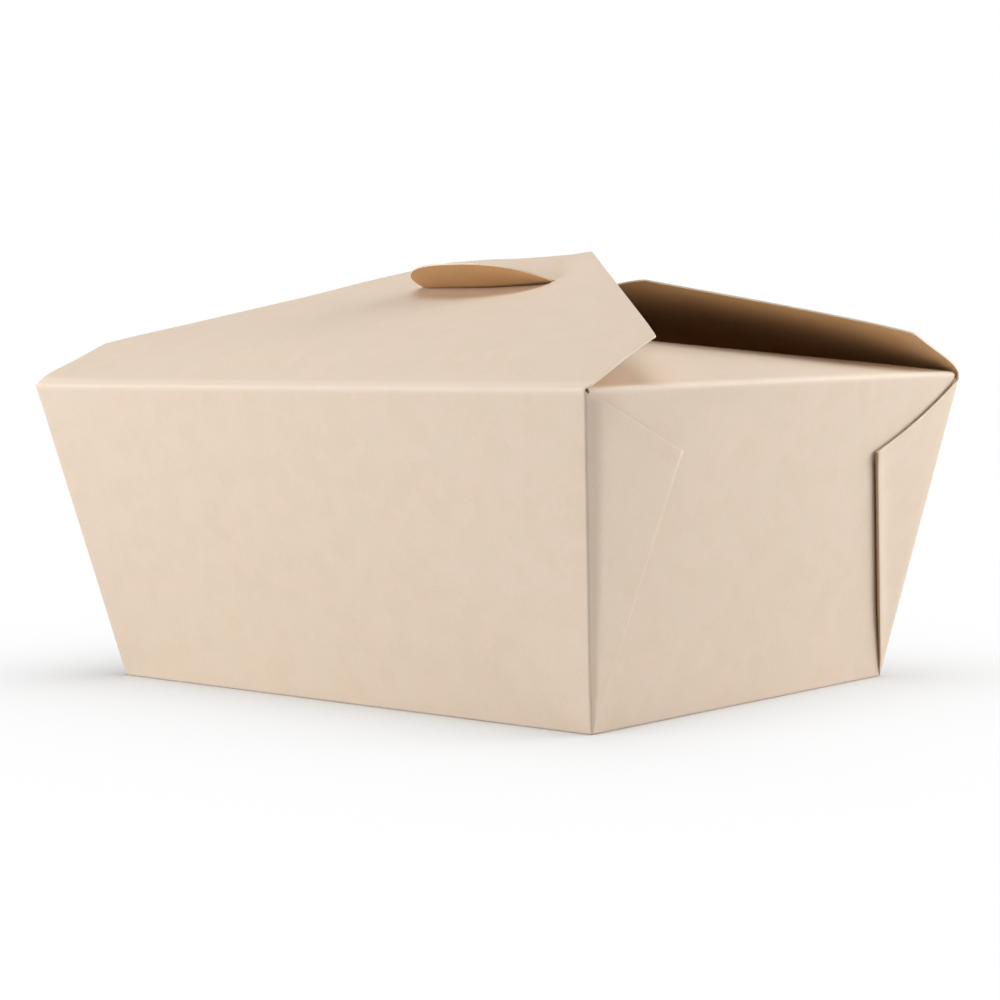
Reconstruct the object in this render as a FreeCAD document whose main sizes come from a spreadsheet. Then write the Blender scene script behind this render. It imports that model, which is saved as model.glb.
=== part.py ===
import FreeCAD, Part
import math
import os
import Sketcher

# Takeaway box folded from one sheet of kraft board. The long side runs along X, the back is +Y,
# Z is up, and the origin is the middle of the base on the table. All sizes are in millimetres.

os.makedirs("parts", exist_ok=True)
doc = FreeCAD.newDocument("takeaway_box")

DRIVING_SIZES = [
    ("base_length", "197", "Base, long way"),
    ("base_width", "140", "Base, short way"),
    ("box_height", "94.5", "Table to the rim creases"),
    ("end_flare", "17.25", "How far each end wall leans out at the rim"),
    ("side_flare", "20", "How far each long wall leans out at the rim"),
    ("board", "0.5", "Thickness of the board"),
    ("corner_radius", "1.2", "Outside radius of the upright corner bends"),
    ("bend_radius", "0.7", "Inside radius of the creases"),
    ("crease_inset", "2.3", "Rim creases stop this far short of the corners"),
    ("rim_strip", "6", "Top part of a wall that is drawn with its flap"),
    ("web_foot", "69.2", "Web fold at the table, from the middle of the end wall"),
    ("web_fold_out", "48.6", "Top of the web fold, from the middle of the end wall"),
    ("web_fold_up", "73", "Top of the web fold, up the end wall"),
    ("web_top_out", "90.4", "Top of the web's cut edge, from the middle of the end wall"),
    ("web_top_up", "95", "Top of the web's cut edge, up the end wall"),
    ("ply_gap", "0.15", "Opening between the two layers of a web at its cut edge"),
    ("ply_gap_depth", "2", "How far that opening reaches in"),
    ("crease_rise", "26.3", "Long flaps: slope next to the crease, degrees"),
    ("lid_rise", "17.6", "Lid flap: slope past its change of slope, degrees"),
    ("far_rise", "17.2", "Far flap and tab: slope past the change of slope, degrees"),
    ("knee_run", "28.6", "Long flaps: crease to the change of slope"),
    ("lid_run", "80.4", "Lid flap: change of slope to the free edge"),
    ("far_run", "57.8", "Far flap: change of slope to the free edge"),
    ("tab_run", "31.5", "Far flap: free edge to the tip of the tab"),
    ("knee_bend", "150", "Radius of the soft bend between slopes"),
    ("flap_corner_out", "0.5", "Outer corner of a long flap, in from the end of the rim"),
    ("far_corner_back", "26", "Outer corner of the far flap, in from its crease"),
    ("lid_corner_back", "28.3", "Outer corner of the lid flap, in from its crease"),
    ("lid_tip_half", "31.9", "Half length of the lid flap's straight free edge"),
    ("far_tip_half", "55", "Half length of the far flap's free edge"),
    ("tab_half", "26", "Half width of the tab"),
    ("tab_round", "20", "Radius of the tab's corners"),
    ("slit_half", "27.2", "Half length of the slit"),
    ("slit_width", "2.8", "Opening of the slit while the tab stands in it"),
    ("slit_middle", "-0.8", "Middle of the slit, back from the middle of the box"),
    ("crease_gap", "0.3", "Space between the lid flap and the rim it turns on"),
    ("end_rise", "10", "End flaps: slope, degrees"),
    ("end_run", "66", "End flaps: length"),
    ("end_foot_half", "86", "End flaps: half width at the crease"),
    ("end_tip_half", "12.7", "End flaps: half width at the free edge"),
    ("flap_round", "2", "Radius of the long flaps' corners"),
    ("end_round", "6", "Radius of the end flaps' corners"),
]

WORKED_OUT_SIZES = [
    ("half_length", "=base_length / 2"),
    ("half_width", "=base_width / 2"),
    ("rim_x", "=half_length + end_flare"),
    ("rim_y", "=half_width + side_flare"),
    ("end_lean", "=atan(end_flare / box_height)"),
    ("side_lean", "=atan(side_flare / box_height)"),
    ("web_layers", "=2 * board"),
    ("tray_height", "=box_height - 1.5"),
    ("strip_foot_z", "=box_height - rim_strip"),
    ("strip_foot_y", "=half_width + side_flare * strip_foot_z / box_height"),
    ("crease_half", "=rim_x - crease_inset"),
    ("pivot_z", "=box_height - board / 2"),
    ("pivot_y", "=half_width + side_flare * pivot_z / box_height - board / 2 / cos(side_lean)"),
    ("far_knee_y", "=rim_y - knee_run * cos(crease_rise * 1deg)"),
    ("far_knee_z", "=box_height + knee_run * sin(crease_rise * 1deg)"),
    ("far_edge_y", "=far_knee_y - far_run * cos(far_rise * 1deg)"),
    ("tab_tip_y", "=far_edge_y - tab_run * cos(far_rise * 1deg)"),
    ("tab_tip_z", "=far_knee_z + (far_run + tab_run) * sin(far_rise * 1deg)"),
    ("lid_root_run", "=board / 2 + crease_gap"),
    ("lid_root_y", "=pivot_y - lid_root_run * cos(crease_rise * 1deg)"
                   " + board / 2 * sin(crease_rise * 1deg)"),
    ("lid_root_z", "=pivot_z + lid_root_run * sin(crease_rise * 1deg)"
                   " + board / 2 * cos(crease_rise * 1deg)"),
    ("lid_knee_y", "=lid_root_y - knee_run * cos(crease_rise * 1deg)"),
    ("lid_knee_z", "=lid_root_z + knee_run * sin(crease_rise * 1deg)"),
    ("lid_tip_y", "=lid_knee_y - lid_run * cos(lid_rise * 1deg)"),
    ("lid_tip_z", "=lid_knee_z + lid_run * sin(lid_rise * 1deg)"),
    ("end_face_back", "=web_layers / cos(end_lean)"),
    ("end_foot_x", "=half_length + end_flare * strip_foot_z / box_height - end_face_back"),
    ("end_crease_x", "=rim_x - end_face_back"),
    ("end_tip_x", "=end_crease_x - end_run * cos(end_rise * 1deg)"),
    ("end_tip_z", "=box_height + end_run * sin(end_rise * 1deg)"),
    ("web_cut_lean", "=atan((web_top_up - web_fold_up) / (web_top_out - web_fold_out))"),
]


def make_sizes():
    """The sheet that every size of the box is read from."""
    sheet = doc.addObject("Spreadsheet::Sheet", "Sizes")
    sheet.Label = "Sizes"
    row = 1
    for alias, value, meaning in DRIVING_SIZES:
        sheet.set(f"A{row}", meaning)
        sheet.set(f"B{row}", value)
        sheet.setAlias(f"B{row}", alias)
        row += 1
    for alias, formula in WORKED_OUT_SIZES:
        sheet.set(f"A{row}", alias.replace("_", " "))
        sheet.set(f"B{row}", formula)
        sheet.setAlias(f"B{row}", alias)
        row += 1
    doc.recompute()
    return sheet


SIZES = make_sizes()


def size(expression):
    """The present value of an expression, in mm or degrees."""
    value = SIZES.evalExpression(expression)
    return float(getattr(value, "Value", value))


def new_body(name, label):
    """A body that the features of one region of the sheet are drawn in."""
    body = doc.addObject("PartDesign::Body", name)
    body.Label = label
    return body


def new_sketch(body, name, role, height="0"):
    """A sketch on one of the body's origin planes, or lifted off it by height."""
    sketch = body.newObject("Sketcher::SketchObject", name)
    plane = next(item for item in body.Origin.OriginFeatures if item.Role == role)
    sketch.AttachmentSupport = [(plane, "")]
    sketch.MapMode = "FlatFace"
    lift = FreeCAD.Vector(0, 0, size(height))
    sketch.AttachmentOffset = FreeCAD.Placement(lift, FreeCAD.Rotation())
    if height != "0":
        sketch.setExpression("AttachmentOffset.Base.z", height)
    return sketch


def drive(sketch, constraint, name, expression):
    """Adds a constraint and ties its value to the sheet."""
    index = sketch.addConstraint(constraint)
    sketch.renameConstraint(index, name)
    sketch.setExpression("Constraints." + name, expression)


def pin_vertex(sketch, line, end, name, point):
    """Holds one end of a line at a place given by two expressions."""
    across = Sketcher.Constraint("DistanceX", -1, 1, line, end, size(point[0]))
    upward = Sketcher.Constraint("DistanceY", -1, 1, line, end, size(point[1]))
    drive(sketch, across, name + "_x", point[0])
    drive(sketch, upward, name + "_y", point[1])


def corner_cut(previous, corner, following, radius):
    """Where an arc of the radius leaves and meets the two lines of a corner, and its centre."""
    way_in = (corner - previous).normalize()
    way_out = (following - corner).normalize()
    half_turn = way_in.getAngle(way_out) / 2
    cut_back = radius * math.tan(half_turn)
    centre = corner + (way_out - way_in).normalize() * (radius / math.cos(half_turn))
    turns_left = way_in.cross(way_out).z > 0
    return corner - way_in * cut_back, corner + way_out * cut_back, centre, half_turn, turns_left


def draw_outline(sketch, points, name="corner"):
    """A closed outline of straight lines, every corner tied to the sheet. A corner given with a
    third value is rounded to that radius."""
    first = sketch.GeometryCount
    count = len(points)
    places = [FreeCAD.Vector(size(point[0]), size(point[1]), 0) for point in points]
    radii = [size(point[2]) if len(point) > 2 else 0 for point in points]
    cuts = [corner_cut(places[step - 1], places[step], places[(step + 1) % count], radii[step])
            for step in range(count)]
    for step in range(count):
        leave, enter = cuts[step][1], cuts[(step + 1) % count][0]
        sketch.addGeometry(Part.LineSegment(leave, enter), False)
    for step, point in enumerate(points):
        before = first + (step - 1) % count
        after = first + step
        label = f"{name}{step + 1}"
        if radii[step] == 0:
            sketch.addConstraint(Sketcher.Constraint("Coincident", before, 2, after, 1))
            pin_vertex(sketch, after, 1, label, point)
        else:
            round_corner(sketch, before, after, places[step], radii[step], cuts[step], label, point)


def round_corner(sketch, before, after, corner, radius, cut, label, point):
    """Joins two lines by an arc. The corner that they would meet in stays the place that is tied."""
    enter, leave, centre, half_turn, turns_left = cut
    start = enter if turns_left else leave
    begin = math.atan2(start.y - centre.y, start.x - centre.x)
    circle = Part.Circle(centre, FreeCAD.Vector(0, 0, 1), radius)
    arc = sketch.addGeometry(Part.ArcOfCircle(circle, begin, begin + 2 * half_turn), False)
    mark = sketch.addGeometry(Part.Point(corner), True)
    arc_in, arc_out = (1, 2) if turns_left else (2, 1)
    sketch.addConstraint(Sketcher.Constraint("Tangent", before, 2, arc, arc_in))
    sketch.addConstraint(Sketcher.Constraint("Tangent", arc, arc_out, after, 1))
    sketch.addConstraint(Sketcher.Constraint("PointOnObject", mark, 1, before))
    sketch.addConstraint(Sketcher.Constraint("PointOnObject", mark, 1, after))
    drive(sketch, Sketcher.Constraint("Radius", arc, radius), label + "_radius", point[2])
    pin_vertex(sketch, mark, 1, label, point)


def draw_board_section(sketch, points, inner_side):
    """Board bent along points: its outer face is tied to the sheet, its inner face lies one
    thickness away on the given side, 1 for left of the way along and -1 for right."""
    board = size("Sizes.board")
    outer = [FreeCAD.Vector(size(x), size(y), 0) for x, y in points]
    ways = [(after - before).normalize() for before, after in zip(outer, outer[1:])]
    normals = [FreeCAD.Vector(-way.y, way.x, 0) * inner_side for way in ways]
    inner = [outer[0] + normals[0] * board]
    for before, after, corner in zip(normals, normals[1:], outer[1:]):
        middle = (before + after).normalize()
        inner.append(corner + middle * (board / middle.dot(before)))
    inner.append(outer[-1] + normals[-1] * board)
    ring = outer + inner[::-1]
    for start, finish in zip(ring, ring[1:] + ring[:1]):
        sketch.addGeometry(Part.LineSegment(start, finish), False)
    count = len(ring)
    for line in range(count):
        sketch.addConstraint(Sketcher.Constraint("Coincident", line, 2, (line + 1) % count, 1))
    for step, point in enumerate(points):
        pin_vertex(sketch, step, 1, f"face{step + 1}", point)
    spans = len(ways)
    for span in range(spans):
        opposite = 2 * spans - span
        sketch.addConstraint(Sketcher.Constraint("Parallel", span, opposite))
        thickness = Sketcher.Constraint("Distance", opposite, 1, span, board)
        drive(sketch, thickness, f"thickness{span + 1}", "Sizes.board")
    sketch.addConstraint(Sketcher.Constraint("Perpendicular", spans, spans - 1))
    sketch.addConstraint(Sketcher.Constraint("Perpendicular", count - 1, 0))


def frustum(body, kind, name, foot_z, top_z, lengthwise, crosswise):
    """A block with four leaning sides between two heights. The two last values each give half
    the block's extent at the foot and at the top."""
    feature = body.newObject("PartDesign::" + kind, name)
    plane = next(item for item in body.Origin.OriginFeatures if item.Role == "XZ_Plane")
    feature.AttachmentSupport = [(plane, "")]
    feature.MapMode = "FlatFace"
    for extent, expression in (("Ymax", top_z), ("Ymin", foot_z),
                               ("Xmax", lengthwise[0]), ("Xmin", f"-({lengthwise[0]})"),
                               ("X2max", lengthwise[1]), ("X2min", f"-({lengthwise[1]})"),
                               ("Zmax", crosswise[0]), ("Zmin", f"-({crosswise[0]})"),
                               ("Z2max", crosswise[1]), ("Z2min", f"-({crosswise[1]})")):
        setattr(feature, extent, size(expression))
        feature.setExpression(extent, expression)
    doc.recompute()
    return feature


def pad(body, sketch, name, length, both_ways=True):
    """Gives a sketch its length, half of it to each side unless told otherwise."""
    feature = body.newObject("PartDesign::Pad", name)
    feature.Profile = sketch
    feature.SideType = "Symmetric" if both_ways else "One side"
    feature.Length = size(length)
    feature.setExpression("Length", length)
    doc.recompute()
    return feature


def pocket(body, sketch, name, length, along_normal):
    """Cuts material away and makes sure that some was there."""
    before = body.Shape.Volume
    feature = body.newObject("PartDesign::Pocket", name)
    feature.Profile = sketch
    feature.Reversed = along_normal
    feature.Length = size(length)
    feature.setExpression("Length", length)
    doc.recompute()
    if not body.Shape.Volume < before - 0.01:
        raise RuntimeError(name + " removed nothing")
    return feature


def edge_names(feature, chosen):
    """Names of the feature's edges for which chosen(edge) is true."""
    edges = feature.Shape.Edges
    return [f"Edge{number + 1}" for number, edge in enumerate(edges) if chosen(edge)]


def middle_of(edge):
    """The point halfway along an edge."""
    return edge.valueAt((edge.FirstParameter + edge.LastParameter) / 2)


def fillet(body, base, name, chosen, radius):
    """Rounds the edges for which chosen(edge) is true."""
    feature = body.newObject("PartDesign::Fillet", name)
    feature.Base = (base, edge_names(base, chosen))
    feature.Radius = size(radius)
    feature.setExpression("Radius", radius)
    doc.recompute()
    return feature


def wall_face(way, height):
    """How far out a wall's outside lies at a height. The way is length or width."""
    flare = {"length": "Sizes.end_flare", "width": "Sizes.side_flare"}[way]
    return f"Sizes.base_{way} / 2 + {flare} * {height} / Sizes.box_height"


def make_tray():
    """Base and four leaning walls. The end walls are drawn three layers thick, then cut back to
    one layer between the two webs that are folded flat against their outside."""
    body = new_body("Tray", "base and walls")
    top = "Sizes.tray_height"
    outside = frustum(body, "AdditiveWedge", "TrayOutside", "0", top,
                      [wall_face("length", "0"), wall_face("length", top)],
                      [wall_face("width", "0"), wall_face("width", top)])
    upright = lambda edge: edge.BoundBox.ZLength > size("Sizes.box_height") / 2
    rounded = fillet(body, outside, "CornerBends", upright, "Sizes.corner_radius")
    at_table = lambda edge: edge.BoundBox.ZMax < 0.01
    fillet(body, rounded, "BaseCreases", at_table, "Sizes.bend_radius + Sizes.board")

    floor, above = "Sizes.board", "(Sizes.tray_height + 10)"
    end_layers = " - 3 * Sizes.board / cos(Sizes.end_lean)"
    side_layer = " - Sizes.board / cos(Sizes.side_lean)"
    hollow = frustum(body, "SubtractiveWedge", "TrayHollow", floor, above,
                     [wall_face("length", floor) + end_layers, wall_face("length", above) + end_layers],
                     [wall_face("width", floor) + side_layer, wall_face("width", above) + side_layer])
    rim_x = size(wall_face("length", top) + end_layers)
    far_out = lambda edge: max(edge.BoundBox.XMax, -edge.BoundBox.XMin)
    inside = lambda edge: upright(edge) and abs(far_out(edge) - rim_x) < 0.01
    rounded = fillet(body, hollow, "CornerBendsInside", inside, "Sizes.corner_radius - Sizes.board")
    floor_z = size(floor)
    at_floor = lambda edge: abs(edge.BoundBox.ZMin - floor_z) < 0.01 and edge.BoundBox.ZLength < 0.01
    fillet(body, rounded, "FloorCreases", at_floor, "Sizes.bend_radius")

    recess = make_web_recess(body)
    opening_right = make_ply_opening(body, "PlyOpeningRight", 1)
    opening_left = make_ply_opening(body, "PlyOpeningLeft", -1)
    mirror = body.newObject("PartDesign::Mirrored", "OtherEnd")
    mirror.Originals = [recess, opening_right, opening_left]
    middle_plane = next(item for item in body.Origin.OriginFeatures if item.Role == "YZ_Plane")
    mirror.MirrorPlane = (middle_plane, [""])
    body.Tip = mirror
    doc.recompute()
    return body


def lean_with_end_wall(sketch, depth):
    """Lays a sketch of the upright cross plane against the end wall, depth below its outside."""
    turn = FreeCAD.Rotation(FreeCAD.Vector(1, 0, 0), size("Sizes.end_lean"))
    out = f"Sizes.half_length - ({depth}) / cos(Sizes.end_lean)"
    sketch.AttachmentOffset = FreeCAD.Placement(FreeCAD.Vector(0, 0, size(out)), turn)
    sketch.setExpression("AttachmentOffset.Rotation.Angle", "Sizes.end_lean")
    sketch.setExpression("AttachmentOffset.Base.z", out)


def make_web_recess(body):
    """Between the webs the end wall is a single layer. The webs' folds rise from the table and
    their cut edges run on to the rim corners."""
    sketch = new_sketch(body, "WebOutline", "YZ_Plane")
    lean_with_end_wall(sketch, "0")
    below = "Sizes.web_foot + (Sizes.web_foot - Sizes.web_fold_out) / Sizes.web_fold_up * 3"
    past = "Sizes.web_top_out + 5"
    rise = "Sizes.web_top_up + 5 * tan(Sizes.web_cut_lean)"
    half = [(below, "-3"), ("Sizes.web_fold_out", "Sizes.web_fold_up"), (past, rise)]
    other = [(f"-({out})", up) for out, up in reversed(half)]
    draw_outline(sketch, half + other)
    doc.recompute()
    return pocket(body, sketch, "WebRecess", "Sizes.web_layers", False)


def make_ply_opening(body, name, side):
    """At its cut edge a web shows its two layers of board a hair apart."""
    sketch = new_sketch(body, name + "Outline", "YZ_Plane")
    lean_with_end_wall(sketch, "Sizes.board - Sizes.ply_gap / 2")
    deep = "Sizes.ply_gap_depth"
    fold = ("Sizes.web_fold_out", "Sizes.web_fold_up")
    top = ("Sizes.web_top_out", "Sizes.web_top_up")
    run_out = "sin(Sizes.web_cut_lean)"
    run_up = "cos(Sizes.web_cut_lean)"
    rise = "3 * tan(Sizes.web_cut_lean)"
    corners = [(f"{fold[0]} + 2 * {run_up} - 0.2 * {run_out}",
                f"{fold[1]} + 2 * {run_out} + 0.2 * {run_up}"),
               (f"{top[0]} - 0.2 * {run_out} + 3", f"{top[1]} + 0.2 * {run_up} + {rise}"),
               (f"{top[0]} + {deep} * {run_out} + 3", f"{top[1]} - {deep} * {run_up} + {rise}"),
               (f"{fold[0]} + 5 * {run_up} + {deep} * {run_out}",
                f"{fold[1]} + 5 * {run_out} - {deep} * {run_up}")]
    draw_outline(sketch, [(f"{side} * ({out})", up) for out, up in corners])
    doc.recompute()
    return pocket(body, sketch, name, "Sizes.ply_gap", False)


def cut_to_outline(body, outline, name):
    """Trims bent board to its outline, looked at from above."""
    sketch = new_sketch(body, name + "Outline", "XY_Plane")
    reach = "Sizes.base_length"
    draw_outline(sketch, [(f"-{reach}", f"-{reach}"), (reach, f"-{reach}"), (reach, reach),
                          (f"-{reach}", reach)], "frame")
    draw_outline(sketch, outline)
    doc.recompute()
    return pocket(body, sketch, name, "3 * Sizes.box_height", True)


def both_sides(half):
    """Completes half an outline, given for positive X, with its mirror image."""
    return half + [(f"-({x})", *rest) for x, *rest in reversed(half)]


def is_crease_at(places):
    """Chooses the edges that run along X at the given heights and depths."""
    def chosen(edge):
        spot = middle_of(edge)
        along = edge.BoundBox.XLength > 10 and edge.BoundBox.YLength < 0.01
        return along and any(abs(spot.y - y) < 0.9 and abs(spot.z - z) < 0.9 for y, z in places)
    return chosen


def make_far_flap():
    """Far long flap: top of the back wall, its crease, the flap and the half-moon tab."""
    body = new_body("FarFlap", "far flap with tab")
    section = new_sketch(body, "FarSection", "YZ_Plane")
    bends = [("Sizes.strip_foot_y", "Sizes.strip_foot_z"), ("Sizes.rim_y", "Sizes.box_height"),
             ("Sizes.far_knee_y", "Sizes.far_knee_z"), ("Sizes.tab_tip_y", "Sizes.tab_tip_z")]
    draw_board_section(section, bends, 1)
    doc.recompute()
    sheet = pad(body, section, "FarSheet", "2 * Sizes.rim_x + 10")
    crease = (size("Sizes.rim_y"), size("Sizes.box_height"))
    knee = (size("Sizes.far_knee_y"), size("Sizes.far_knee_z"))
    outer = lambda edge: is_crease_at([crease])(edge) and middle_of(edge).z > crease[1] - 0.05
    inner = lambda edge: is_crease_at([crease])(edge) and middle_of(edge).z < crease[1] - 0.05
    bent = fillet(body, sheet, "FarCreaseOutside", outer, "Sizes.bend_radius + Sizes.board")
    bent = fillet(body, bent, "FarCreaseInside", inner, "Sizes.bend_radius")
    bent = fillet(body, bent, "FarKnee", is_crease_at([knee]), "Sizes.knee_bend")
    corner = ("Sizes.rim_x - Sizes.flap_corner_out", "Sizes.rim_y - Sizes.far_corner_back",
              "Sizes.flap_round")
    edge = ("Sizes.far_tip_half", "Sizes.far_edge_y", "Sizes.flap_round")
    tab_foot = ("Sizes.tab_half", "Sizes.far_edge_y", "Sizes.flap_round / 2")
    tab_tip = ("Sizes.tab_half", "Sizes.tab_tip_y", "Sizes.tab_round")
    half = [("Sizes.crease_half", "Sizes.rim_y + 5"), ("Sizes.crease_half", "Sizes.rim_y - 1"),
            corner, edge, tab_foot, tab_tip]
    cut_to_outline(body, both_sides(half), "FarFlapCut")
    return body


def make_lid_flap():
    """Near long flap, on top: it turns on the near rim crease and its slit takes the tab."""
    body = new_body("LidFlap", "lid flap with slit")
    section = new_sketch(body, "LidSection", "YZ_Plane")
    bends = [("-Sizes.lid_root_y", "Sizes.lid_root_z"), ("-Sizes.lid_knee_y", "Sizes.lid_knee_z"),
             ("-Sizes.lid_tip_y", "Sizes.lid_tip_z")]
    draw_board_section(section, bends, -1)
    doc.recompute()
    sheet = pad(body, section, "LidSheet", "2 * Sizes.rim_x + 10")
    knee = (-size("Sizes.lid_knee_y"), size("Sizes.lid_knee_z"))
    fillet(body, sheet, "LidKnee", is_crease_at([knee]), "Sizes.knee_bend")
    corner = ("Sizes.rim_x - Sizes.flap_corner_out", "-Sizes.rim_y + Sizes.lid_corner_back",
              "Sizes.flap_round")
    tip = ("Sizes.lid_tip_half", "-Sizes.lid_tip_y", "Sizes.flap_round")
    half = [("Sizes.crease_half", "-Sizes.rim_y - 5"), ("Sizes.crease_half", "-Sizes.rim_y + 1"),
            corner, tip]
    cut_to_outline(body, both_sides(half), "LidFlapCut")
    slit = new_sketch(body, "SlitOutline", "XY_Plane")
    lips = [f"Sizes.slit_middle {side} Sizes.slit_width / 2" for side in "-+"]
    end_round = "Sizes.slit_width * 0.45"
    draw_outline(slit, both_sides([("Sizes.slit_half", lip, end_round) for lip in lips]))
    doc.recompute()
    pocket(body, slit, "Slit", "3 * Sizes.box_height", True)
    return body


def make_end_flap():
    """Right end flap, folded in first and covered by both long flaps."""
    body = new_body("EndFlap", "end flap")
    section = new_sketch(body, "EndSection", "XZ_Plane")
    bends = [("Sizes.end_foot_x", "Sizes.strip_foot_z"), ("Sizes.end_crease_x", "Sizes.box_height"),
             ("Sizes.end_tip_x", "Sizes.end_tip_z")]
    draw_board_section(section, bends, 1)
    doc.recompute()
    sheet = pad(body, section, "EndSheet", "2 * Sizes.rim_y + 10")
    x, z = size("Sizes.end_crease_x"), size("Sizes.box_height")
    at_crease = lambda edge: abs(middle_of(edge).x - x) < 1 and edge.BoundBox.YLength > 10
    outer = lambda edge: at_crease(edge) and middle_of(edge).z > z - 0.05
    inner = lambda edge: at_crease(edge) and z - 2 < middle_of(edge).z < z - 0.05
    bent = fillet(body, sheet, "EndCreaseOutside", outer, "Sizes.bend_radius + Sizes.board")
    fillet(body, bent, "EndCreaseInside", inner, "Sizes.bend_radius")
    tip = ("Sizes.end_tip_x", "Sizes.end_tip_half", "Sizes.end_round")
    foot = ("Sizes.end_crease_x - 1.5", "Sizes.end_foot_half")
    wall = ("Sizes.rim_x + 5", "Sizes.end_foot_half")
    half = [tip, foot, wall]
    other = [(across, f"-({along})", *radius) for across, along, *radius in reversed(half)]
    cut_to_outline(body, half + other, "EndFlapCut")
    return body


def make_near_rim():
    """Top of the near wall, up to the crease that the lid flap turns on."""
    body = new_body("NearRim", "near rim")
    section = new_sketch(body, "NearRimSection", "YZ_Plane")
    face_y = "-(Sizes.pivot_y + Sizes.board / 2 * cos(Sizes.side_lean))"
    face_z = "Sizes.pivot_z - Sizes.board / 2 * sin(Sizes.side_lean)"
    draw_board_section(section, [("-Sizes.strip_foot_y", "Sizes.strip_foot_z"), (face_y, face_z)], -1)
    doc.recompute()
    pad(body, section, "NearRimSheet", "2 * Sizes.crease_half")
    return body


def make_near_crease():
    """Half-round top edge of the near wall, centred on the line that the lid flap turns about."""
    edge = doc.addObject("Part::Cylinder", "NearCrease")
    edge.Label = "near crease"
    edge.setExpression("Radius", "Sizes.board / 2")
    edge.setExpression("Height", "2 * Sizes.crease_half")
    edge.Placement = FreeCAD.Placement(FreeCAD.Vector(), FreeCAD.Rotation(FreeCAD.Vector(0, 1, 0), 90))
    edge.setExpression("Placement.Base.x", "-Sizes.crease_half")
    edge.setExpression("Placement.Base.y", "-Sizes.pivot_y")
    edge.setExpression("Placement.Base.z", "Sizes.pivot_z")
    return edge


def make_carton():
    """Everything of the sheet but the lid flap, joined as the one piece of board that it is."""
    right_flap = make_end_flap()
    left_flap = doc.addObject("Part::Mirroring", "LeftEndFlap")
    left_flap.Label = "left end flap"
    left_flap.Source = right_flap
    left_flap.Normal = FreeCAD.Vector(1, 0, 0)
    carton = doc.addObject("Part::MultiFuse", "carton")
    carton.Label = "carton"
    carton.Shapes = [make_tray(), make_far_flap(), right_flap, left_flap, make_near_rim(),
                     make_near_crease()]
    carton.Refine = True
    doc.recompute()
    return carton


def check(node):
    """Stops the build where a feature failed or a node is not one valid solid."""
    for item in doc.Objects:
        if "Invalid" in item.State or "Error" in item.State:
            raise RuntimeError(item.Name + " did not compute")
    if node.Shape.isNull() or not node.Shape.isValid():
        raise RuntimeError(node.Label + " is not a valid shape")
    if len(node.Shape.Solids) != 1:
        raise RuntimeError(f"{node.Label} has {len(node.Shape.Solids)} solids")


lid_flap = make_lid_flap()
carton = make_carton()
for name, node in (("carton", carton), ("lid_flap", lid_flap)):
    check(node)
    node.Shape.exportStep(f"parts/{name}.step")
    box = node.Shape.BoundBox
    print(name, round(box.XLength, 2), round(box.YLength, 2), round(box.ZLength, 2),
          "volume", round(node.Shape.Volume, 1))
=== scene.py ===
import math

import bmesh
import bpy
from mathutils import Matrix, Vector, noise
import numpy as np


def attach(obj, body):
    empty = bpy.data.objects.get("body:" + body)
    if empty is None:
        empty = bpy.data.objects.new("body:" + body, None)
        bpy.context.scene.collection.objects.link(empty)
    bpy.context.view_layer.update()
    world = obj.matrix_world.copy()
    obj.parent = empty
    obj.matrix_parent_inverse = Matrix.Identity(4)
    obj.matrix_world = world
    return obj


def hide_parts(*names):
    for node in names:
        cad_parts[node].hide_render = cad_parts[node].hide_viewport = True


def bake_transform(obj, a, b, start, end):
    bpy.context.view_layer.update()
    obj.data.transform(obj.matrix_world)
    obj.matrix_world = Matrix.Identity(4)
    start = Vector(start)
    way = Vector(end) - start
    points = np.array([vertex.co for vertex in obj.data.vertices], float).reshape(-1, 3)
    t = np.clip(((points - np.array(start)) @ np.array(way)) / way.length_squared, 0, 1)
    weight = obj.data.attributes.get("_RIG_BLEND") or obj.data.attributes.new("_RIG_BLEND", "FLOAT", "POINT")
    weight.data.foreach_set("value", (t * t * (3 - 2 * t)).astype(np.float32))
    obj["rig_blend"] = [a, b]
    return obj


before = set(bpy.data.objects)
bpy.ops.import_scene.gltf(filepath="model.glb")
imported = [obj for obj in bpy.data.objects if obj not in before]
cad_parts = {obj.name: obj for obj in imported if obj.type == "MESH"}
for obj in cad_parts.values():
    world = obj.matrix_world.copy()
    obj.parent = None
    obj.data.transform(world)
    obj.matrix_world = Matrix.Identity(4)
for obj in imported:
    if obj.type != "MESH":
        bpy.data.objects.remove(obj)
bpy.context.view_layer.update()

# The box's sizes are in millimetres here, as on a cutting drawing. Meshes are written in metres. x runs
# along the long walls and y along the end walls. A corner is (1 right or -1 left, 1 far or -1 near).
MM = 0.001
BOARD = 0.5
SKIN = BOARD / 2

# Walls: height of the rim creases, half sizes at the table, how far the walls lean out and swell.
HEIGHT = 94.5
FOOT_X, FLARE_X = 98.5, 17.25
FOOT_Y, FLARE_Y = 70.0, 20.0
WALL_BOW, END_BOW = 0.35, 0.3

# Creases: radius of the board's middle. The strip of a wall above STRIP_Z is laid with its flap.
RIM_CREASE, BASE_CREASE = 0.95, 0.45
BASE_TURN = 78.8
STRIP_Z = 92.5

# Corners: height of the web's tip, and for the one soft corner and the crisp ones how far the upright
# bend sits back and over what width, at the table and how much more at the rim, and its radius.
CORNER_TOP = {-1: 94.15, 1: 93.6}
SOFT_CORNER = (1, -1)
SOFT_BACK, SOFT_WIDTH, SOFT_RADIUS = (0.15, 1.05), (0.3, 5.4), 0.6
CRISP_BACK, CRISP_WIDTH, CRISP_RADIUS = (0.12, 0.12), (0.3, 3.2), 0.32

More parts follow.
